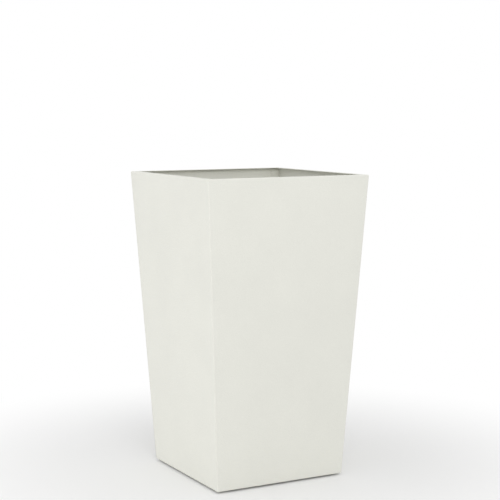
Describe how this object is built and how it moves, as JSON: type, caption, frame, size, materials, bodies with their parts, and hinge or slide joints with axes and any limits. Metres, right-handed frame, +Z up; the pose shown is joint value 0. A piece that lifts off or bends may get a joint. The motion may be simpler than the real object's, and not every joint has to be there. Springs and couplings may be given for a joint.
{
  "type": "planter",
  "caption": "Tall square floor planter, tapering towards the base, folded from powder-coated sheet steel with an inward rim, a drained base tray and rubber feet.",
  "frame": {"origin": "on the floor, under the middle of the base", "axes": "+Z up, -Y out of the front wall, +X to the right when facing the front wall"},
  "size_m": [0.4396, 0.4396, 0.755],
  "materials": {
    "powder_coat": "matt off-white powder coat with a fine orange-peel texture",
    "rubber": "matt black rubber",
    "zinc_plate": "bright zinc plate on steel"
  },
  "bodies": {
    "root": {"front_shell": "powder_coat", "rear_panel": "powder_coat", "base_plate": "powder_coat", "foot_front_left": "rubber", "foot_front_right": "rubber", "foot_rear_left": "rubber", "foot_rear_right": "rubber", "front_base_screws": "zinc_plate", "front_base_washers": "zinc_plate", "front_base_nuts": "zinc_plate", "rear_base_screws": "zinc_plate", "rear_base_washers": "zinc_plate", "rear_base_nuts": "zinc_plate", "left_seam_screws": "zinc_plate", "left_seam_washers": "zinc_plate", "left_seam_nuts": "zinc_plate", "right_seam_screws": "zinc_plate", "right_seam_washers": "zinc_plate", "right_seam_nuts": "zinc_plate"}
  },
  "joints": []
}
